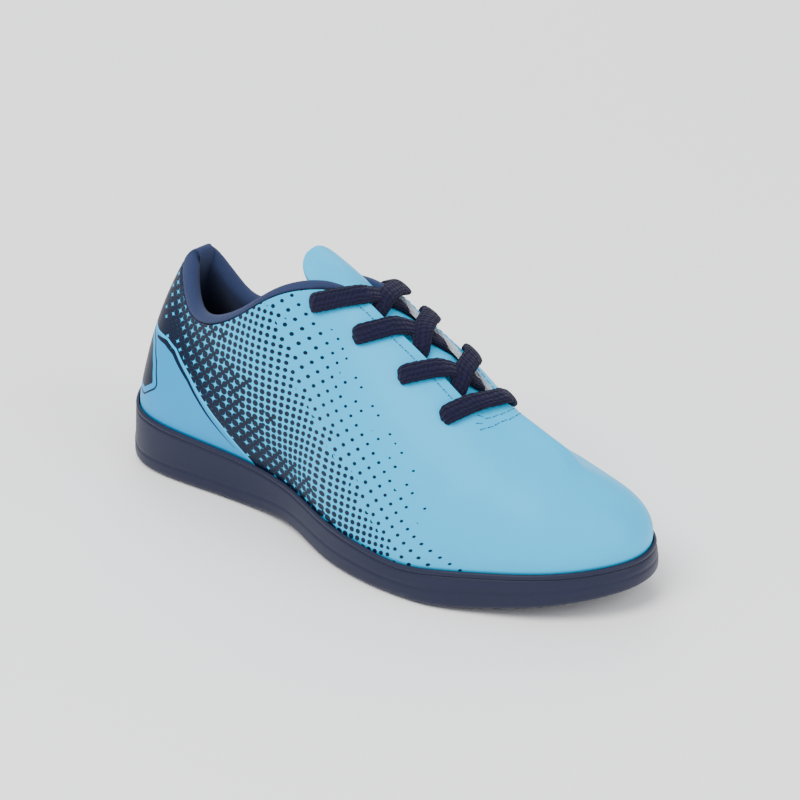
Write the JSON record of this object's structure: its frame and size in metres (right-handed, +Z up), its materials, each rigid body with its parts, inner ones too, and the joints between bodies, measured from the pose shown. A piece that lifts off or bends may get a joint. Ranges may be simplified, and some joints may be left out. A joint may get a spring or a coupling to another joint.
{
  "type": "indoor soccer shoe",
  "caption": "Low-cut laced indoor soccer shoe on a flat cup sole, with padded collar, tongue and insole, built hollow on its last for a child's right foot.",
  "frame": {"origin": "on the floor under the middle of the heel's flat spot", "axes": "+X from heel to toe, +Y to the medial side of a right foot, +Z up from the floor"},
  "size_m": [0.205, 0.0773, 0.0874],
  "materials": {
    "outsole": "satin moulded rubber",
    "insole": "cloth-topped foam",
    "upper": "smooth coated synthetic leather with a printed dot pattern",
    "collar_lining": "padded knit lining",
    "tongue": "soft coated cloth",
    "laces": "woven flat cord"
  },
  "bodies": {
    "root": {"outsole": "outsole", "insole": "insole", "upper": "upper", "collar_lining": "collar_lining", "tongue": "tongue", "lace_bar": "laces", "lace_cross_1": "laces", "lace_cross_2": "laces", "lace_cross_3": "laces"}
  },
  "joints": []
}
